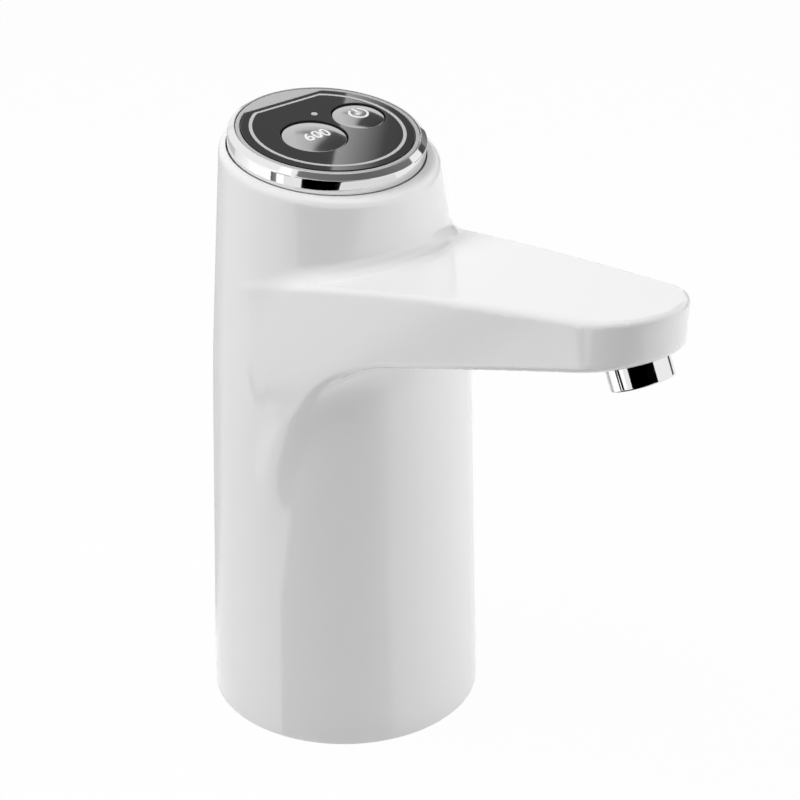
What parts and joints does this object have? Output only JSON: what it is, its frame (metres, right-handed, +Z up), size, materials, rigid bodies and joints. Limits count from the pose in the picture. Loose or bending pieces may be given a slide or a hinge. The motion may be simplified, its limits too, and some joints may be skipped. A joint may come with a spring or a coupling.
{
  "type": "electric water jug pump",
  "caption": "Rechargeable pump that sits over a water jug's neck: round tapered body, tilted round control panel with push buttons, rising arm with a chrome nozzle.",
  "frame": {"origin": "centre of the base, on the axis of the jug's neck, in the plane of the body's lower edge", "axes": "+Z up, -Y toward the nozzle, +X to the right seen from the nozzle's side looking along +Y"},
  "size_m": [0.072, 0.151, 0.1611],
  "materials": {
    "shell": "semi-gloss white moulded plastic",
    "chrome": "polished chrome plate",
    "silver": "satin silver paint",
    "lens": "gloss black lens",
    "button": "gloss grey keycap",
    "clear": "clear polycarbonate",
    "silicone": "translucent white silicone",
    "rubber": "black rubber",
    "inner": "matte white plastic",
    "steel": "zinc plated steel",
    "magnet": "dark ferrite",
    "brass": "sintered bronze",
    "gear": "natural acetal",
    "board": "green solder mask",
    "switch": "black plastic",
    "cell": "blue shrink wrap",
    "red_wire": "red insulation",
    "black_wire": "black insulation"
  },
  "bodies": {
    "housing": {"outer_shell": "shell", "trim_ring": "chrome", "nozzle": "chrome", "panel_bezel": "silver", "panel_lens": "lens", "led_light_pipe": "clear", "neck_sleeve": "silicone", "neck_seal": "silicone", "spout_tube": "silicone", "intake_o_ring": "rubber", "pump_gasket": "rubber", "shaft_seal": "rubber", "nozzle_o_ring": "rubber", "chassis": "inner", "intake_nipple": "inner", "pump_cover": "inner", "pump_body": "inner", "spout_elbow": "inner", "status_led": "inner", "motor_can": "steel", "idler_pin": "steel", "charge_socket": "steel", "board_screw_1": "steel", "board_screw_2": "steel", "board_screw_3": "steel", "chassis_screw_1": "steel", "chassis_screw_2": "steel", "chassis_screw_3": "steel", "pump_screw_1": "steel", "pump_screw_2": "steel", "pump_screw_3": "steel", "charge_board_screw_left": "steel", "charge_board_screw_right": "steel", "motor_magnet_left": "magnet", "motor_magnet_right": "magnet", "motor_bush": "brass", "control_board": "board", "charge_board": "board", "dose_switch": "switch", "power_switch": "switch", "motor_end_bell": "switch", "battery_cell": "cell", "motor_lead_red": "red_wire", "battery_lead_red": "red_wire", "charge_lead_red": "red_wire", "motor_lead_black": "black_wire", "battery_lead_black": "black_wire", "charge_lead_black": "black_wire"},
    "dose_button": {"dose_button": "button"},
    "dose_plunger": {"dose_plunger": "switch"},
    "power_button": {"power_button": "button"},
    "power_plunger": {"power_plunger": "switch"},
    "rotor": {"motor_rotor": "steel", "drive_gear": "gear"},
    "driven_gear": {"driven_gear": "gear"}
  },
  "joints": [
    {"name": "dose_press", "type": "slide", "parent": "housing", "child": "dose_button", "axis": [0, 0.1184, -0.993], "range_m": [0, 0.0005], "stiffness_N_per_m": 900},
    {"name": "dose_plunger_press", "type": "slide", "parent": "housing", "child": "dose_plunger", "axis": [0, 0.1184, -0.993], "range_m": [0, 0.0005]},
    {"name": "power_press", "type": "slide", "parent": "housing", "child": "power_button", "axis": [0, 0.1184, -0.993], "range_m": [0, 0.0005], "stiffness_N_per_m": 900},
    {"name": "power_plunger_press", "type": "slide", "parent": "housing", "child": "power_plunger", "axis": [0, 0.1184, -0.993], "range_m": [0, 0.0005]},
    {"name": "motor_spin", "type": "hinge", "parent": "housing", "child": "rotor", "pos_m": [-0.0115, 0.006, 0.05], "axis": [0, 0, 1], "continuous": true},
    {"name": "driven_gear_spin", "type": "hinge", "parent": "housing", "child": "driven_gear", "pos_m": [-0.0115, -0.0037, 0.05], "axis": [0, 0, 1], "continuous": true}
  ],
  "couplings": [
    {"joint": "dose_plunger_press", "follows": "dose_press", "ratio": 1},
    {"joint": "power_plunger_press", "follows": "power_press", "ratio": 1},
    {"joint": "driven_gear_spin", "follows": "motor_spin", "ratio": -1}
  ]
}
